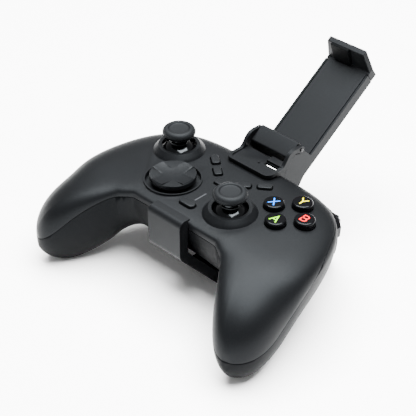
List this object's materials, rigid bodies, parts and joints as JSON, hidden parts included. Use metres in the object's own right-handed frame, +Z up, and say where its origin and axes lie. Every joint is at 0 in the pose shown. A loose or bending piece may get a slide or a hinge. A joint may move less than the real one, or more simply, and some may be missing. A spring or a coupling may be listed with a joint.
{
  "type": "gamepad with phone holder",
  "caption": "Wireless gamepad with thumb sticks, direction pad, buttons and triggers, and a clip-on arm that grips a phone above it.",
  "frame": {"origin": "centre of the bounding box at the bottom, on the surface the grips and the strap stand on", "axes": "+X to the player's right, +Y away from the player, +Z up, square to the face of the gamepad"},
  "size_m": [0.1532, 0.1672, 0.0922],
  "materials": {
    "battery_wrap": "satin",
    "board_green": "satin",
    "clear_light": "frosted",
    "grip_rubber": "matte",
    "holder_black": "satin",
    "inner_plastic": "matte",
    "key_gloss": "polished",
    "key_satin": "satin",
    "motor_can": "brushed",
    "pad_rubber": "matte",
    "shell_black": "satin",
    "shell_lower": "satin",
    "silicone": "matte",
    "steel": "brushed",
    "stick_gloss": "polished",
    "weight_brass": "satin"
  },
  "bodies": {
    "case": {"top_shell": "shell_black", "bottom_shell": "shell_lower", "case_screws": "steel", "light_guide": "clear_light", "main_board": "board_green", "board_screws": "steel", "face_button_pad": "silicone", "key_pad": "silicone", "battery": "battery_wrap", "usb_socket": "steel", "left_stick_housing": "inner_plastic", "right_stick_housing": "inner_plastic", "left_motor": "motor_can", "right_motor": "motor_can", "trigger_pins": "steel", "trigger_springs": "steel", "clip_frame": "holder_black", "knuckle_block": "holder_black", "holder_screws": "steel", "flap_pin": "steel", "flap_spring": "steel", "jaw_spring": "steel"},
    "left_yoke": {"left_stick_yoke": "inner_plastic"},
    "left_stick": {"left_stick_dome": "stick_gloss"},
    "left_cap": {"left_thumb_cap": "grip_rubber"},
    "right_yoke": {"right_stick_yoke": "inner_plastic"},
    "right_stick": {"right_stick_dome": "stick_gloss"},
    "right_cap": {"right_thumb_cap": "grip_rubber"},
    "pad_ring": {"dpad_actuator": "inner_plastic"},
    "pad_disc": {"dpad_disc": "key_gloss"},
    "button_a": {"button_a": "key_gloss"},
    "button_b": {"button_b": "key_gloss"},
    "button_x": {"button_x": "key_gloss"},
    "button_y": {"button_y": "key_gloss"},
    "key_left_outer": {"key_left_outer": "key_satin"},
    "key_left_inner": {"key_left_inner": "key_satin"},
    "key_centre": {"key_centre": "key_satin"},
    "key_right_inner": {"key_right_inner": "key_satin"},
    "key_right_outer": {"key_right_outer": "key_satin"},
    "mode_key": {"mode_key": "key_satin"},
    "left_bumper": {"left_bumper": "key_gloss"},
    "left_trigger": {"left_trigger": "key_satin"},
    "left_weight": {"left_motor_weight": "weight_brass"},
    "right_bumper": {"right_bumper": "key_gloss"},
    "right_trigger": {"right_trigger": "key_satin"},
    "right_weight": {"right_motor_weight": "weight_brass"},
    "flap": {"clamp_flap": "holder_black"},
    "jaw": {"phone_jaw": "holder_black", "jaw_pad": "pad_rubber"}
  },
  "joints": [
    {"name": "left_stick_fore_aft", "type": "hinge", "parent": "case", "child": "left_yoke", "pos_m": [-0.0378, -0.0091, 0.0444], "axis": [1, 0, 0], "range_deg": [-18, 18], "stiffness_Nm_per_rad": 0.03},
    {"name": "left_stick_side_side", "type": "hinge", "parent": "left_yoke", "child": "left_stick", "pos_m": [-0.0378, -0.0091, 0.0444], "axis": [0, 1, 0], "range_deg": [-18, 18], "stiffness_Nm_per_rad": 0.03},
    {"name": "left_stick_click", "type": "slide", "parent": "left_stick", "child": "left_cap", "axis": [0, 0, -1], "range_m": [0, 0.0006], "stiffness_N_per_m": 1500},
    {"name": "right_stick_fore_aft", "type": "hinge", "parent": "case", "child": "right_yoke", "pos_m": [0.0196, -0.0312, 0.0444], "axis": [1, 0, 0], "range_deg": [-18, 18], "stiffness_Nm_per_rad": 0.03},
    {"name": "right_stick_side_side", "type": "hinge", "parent": "right_yoke", "child": "right_stick", "pos_m": [0.0196, -0.0312, 0.0444], "axis": [0, 1, 0], "range_deg": [-18, 18], "stiffness_Nm_per_rad": 0.03},
    {"name": "right_stick_click", "type": "slide", "parent": "right_stick", "child": "right_cap", "axis": [0, 0, -1], "range_m": [0, 0.0006], "stiffness_N_per_m": 1500},
    {"name": "pad_rock_fore_aft", "type": "hinge", "parent": "case", "child": "pad_ring", "pos_m": [-0.0202, -0.0306, 0.0448], "axis": [1, 0, 0], "range_deg": [-6, 6], "stiffness_Nm_per_rad": 0.08},
    {"name": "pad_rock_side_side", "type": "hinge", "parent": "pad_ring", "child": "pad_disc", "pos_m": [-0.0202, -0.0306, 0.0448], "axis": [0, 1, 0], "range_deg": [-6, 6], "stiffness_Nm_per_rad": 0.08},
    {"name": "button_a_press", "type": "slide", "parent": "case", "child": "button_a", "axis": [0, 0, -1], "range_m": [0, 0.0012], "stiffness_N_per_m": 800},
    {"name": "button_b_press", "type": "slide", "parent": "case", "child": "button_b", "axis": [0, 0, -1], "range_m": [0, 0.0012], "stiffness_N_per_m": 800},
    {"name": "button_x_press", "type": "slide", "parent": "case", "child": "button_x", "axis": [0, 0, -1], "range_m": [0, 0.0012], "stiffness_N_per_m": 800},
    {"name": "button_y_press", "type": "slide", "parent": "case", "child": "button_y", "axis": [0, 0, -1], "range_m": [0, 0.0012], "stiffness_N_per_m": 800},
    {"name": "key_left_outer_press", "type": "slide", "parent": "case", "child": "key_left_outer", "axis": [0, 0, -1], "range_m": [0, 0.0006], "stiffness_N_per_m": 1500},
    {"name": "key_left_inner_press", "type": "slide", "parent": "case", "child": "key_left_inner", "axis": [0, 0, -1], "range_m": [0, 0.0006], "stiffness_N_per_m": 1500},
    {"name": "key_centre_press", "type": "slide", "parent": "case", "child": "key_centre", "axis": [0, 0, -1], "range_m": [0, 0.0006], "stiffness_N_per_m": 1500},
    {"name": "key_right_inner_press", "type": "slide", "parent": "case", "child": "key_right_inner", "axis": [0, 0, -1], "range_m": [0, 0.0006], "stiffness_N_per_m": 1500},
    {"name": "key_right_outer_press", "type": "slide", "parent": "case", "child": "key_right_outer", "axis": [0, 0, -1], "range_m": [0, 0.0006], "stiffness_N_per_m": 1500},
    {"name": "mode_key_press", "type": "slide", "parent": "case", "child": "mode_key", "axis": [0, 0, -1], "range_m": [0, 0.0006], "stiffness_N_per_m": 1500},
    {"name": "left_bumper_press", "type": "slide", "parent": "case", "child": "left_bumper", "axis": [0, -1, 0], "range_m": [0, 0.001], "stiffness_N_per_m": 1200},
    {"name": "left_trigger_pull", "type": "hinge", "parent": "case", "child": "left_trigger", "pos_m": [-0.041, 0, 0.0321], "axis": [1, 0, 0], "range_deg": [-14, 0], "stiffness_Nm_per_rad": 0.06, "springref_deg": 5.73},
    {"name": "left_motor_spin", "type": "hinge", "parent": "case", "child": "left_weight", "pos_m": [-0.0655, -0.05, 0.0261], "axis": [1, 0, 0], "continuous": true},
    {"name": "right_bumper_press", "type": "slide", "parent": "case", "child": "right_bumper", "axis": [0, -1, 0], "range_m": [0, 0.001], "stiffness_N_per_m": 1200},
    {"name": "right_trigger_pull", "type": "hinge", "parent": "case", "child": "right_trigger", "pos_m": [0.041, 0, 0.0321], "axis": [1, 0, 0], "range_deg": [-14, 0], "stiffness_Nm_per_rad": 0.06, "springref_deg": 5.73},
    {"name": "right_motor_spin", "type": "hinge", "parent": "case", "child": "right_weight", "pos_m": [0.0655, -0.05, 0.0261], "axis": [1, 0, 0], "continuous": true},
    {"name": "flap_swing", "type": "hinge", "parent": "case", "child": "flap", "pos_m": [0, 0.0256, 0.0568], "axis": [1, 0, 0], "range_deg": [-75, 0], "stiffness_Nm_per_rad": 0.05, "springref_deg": 11.46},
    {"name": "jaw_slide", "type": "slide", "parent": "case", "child": "jaw", "axis": [0, 0.829, 0.5592], "range_m": [0, 0.03], "stiffness_N_per_m": 60, "springref_m": -0.02}
  ]
}
